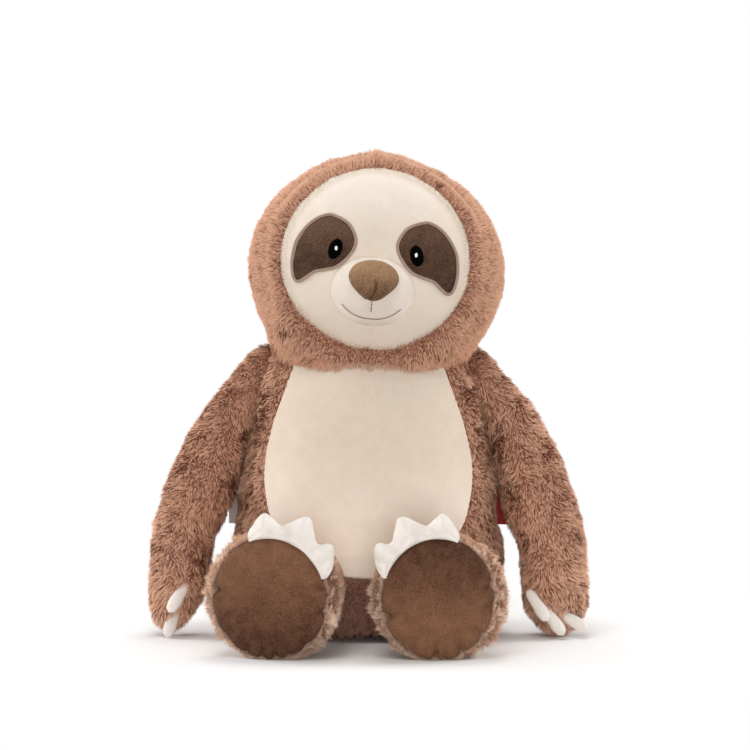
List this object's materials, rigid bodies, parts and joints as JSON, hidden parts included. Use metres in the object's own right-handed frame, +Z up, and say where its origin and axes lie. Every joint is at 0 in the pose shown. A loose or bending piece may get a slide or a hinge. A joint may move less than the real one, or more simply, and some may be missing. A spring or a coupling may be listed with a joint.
{
  "type": "plush sloth",
  "caption": "Seated plush sloth of long-pile fabric with a pale velour face and belly, stuffed arms and legs, stitched eyes and stuffed claws.",
  "frame": {"origin": "centre of the bounding box at the floor, under the seat", "axes": "+Z up, -Y the way the toy looks, +X the toy's own left"},
  "size_m": [0.355, 0.252, 0.3837],
  "materials": {
    "brown_plush": "long pile, clumped",
    "peach_plush": "long pile, clumped",
    "cream_velour": "short nap",
    "white_velour": "short nap",
    "dark_velour": "short nap",
    "brown_velour": "short nap",
    "nose_velour": "short nap",
    "edge_thread": "satin stitch",
    "black_thread": "satin stitch",
    "white_thread": "satin stitch",
    "brown_thread": "twisted thread",
    "white_tape": "woven tape",
    "red_tape": "woven tape",
    "polyester_fibre": "loose fibre"
  },
  "bodies": {
    "torso": {"body_fur": "brown_plush", "belly_panel": "cream_velour", "body_stuffing": "polyester_fibre", "care_label": "white_tape", "side_tag": "red_tape"},
    "head": {"head_fur": "brown_plush", "face_panel": "cream_velour", "head_stuffing": "polyester_fibre", "muzzle_cover": "white_velour", "muzzle_stuffing": "polyester_fibre", "nose": "nose_velour", "mouth_stitch": "brown_thread", "nose_stitch": "brown_thread", "eye_patch_left": "dark_velour", "eye_edge_left": "edge_thread", "eye_left": "black_thread", "eye_glint_left": "white_thread", "eye_patch_right": "dark_velour", "eye_edge_right": "edge_thread", "eye_right": "black_thread", "eye_glint_right": "white_thread"},
    "arm_left": {"arm_fur_left": "brown_plush", "arm_stuffing_left": "polyester_fibre", "hand_claw_left_1": "white_velour", "hand_claw_left_2": "white_velour", "hand_claw_left_3": "white_velour"},
    "leg_left": {"leg_fur_left": "peach_plush", "leg_stuffing_left": "polyester_fibre", "sole_left": "brown_velour", "foot_claws_left": "white_velour"},
    "arm_right": {"arm_fur_right": "brown_plush", "arm_stuffing_right": "polyester_fibre", "hand_claw_right_1": "white_velour", "hand_claw_right_2": "white_velour", "hand_claw_right_3": "white_velour"},
    "leg_right": {"leg_fur_right": "peach_plush", "leg_stuffing_right": "polyester_fibre", "sole_right": "brown_velour", "foot_claws_right": "white_velour"}
  },
  "joints": [
    {"name": "head_turn", "type": "hinge", "parent": "torso", "child": "head", "pos_m": [0.0065, 0.037, 0.289], "axis": [0.0872, 0, 0.9962], "range_deg": [-40, 40]},
    {"name": "shoulder_left", "type": "hinge", "parent": "torso", "child": "arm_left", "pos_m": [0.0789, 0.042, 0.2005], "axis": [-0.9374, -0.0655, -0.342], "range_deg": [-30, 90]},
    {"name": "shoulder_right", "type": "hinge", "parent": "torso", "child": "arm_right", "pos_m": [-0.0789, 0.042, 0.2005], "axis": [-0.9374, 0.0655, 0.342], "range_deg": [-30, 90]},
    {"name": "hip_left", "type": "hinge", "parent": "torso", "child": "leg_left", "pos_m": [0.0525, -0.034, 0.0468], "axis": [-0.9994, -0.0349, 0], "range_deg": [-30, 25]},
    {"name": "hip_right", "type": "hinge", "parent": "torso", "child": "leg_right", "pos_m": [-0.0525, -0.034, 0.0468], "axis": [-0.9781, 0.2079, 0], "range_deg": [-30, 25]}
  ]
}
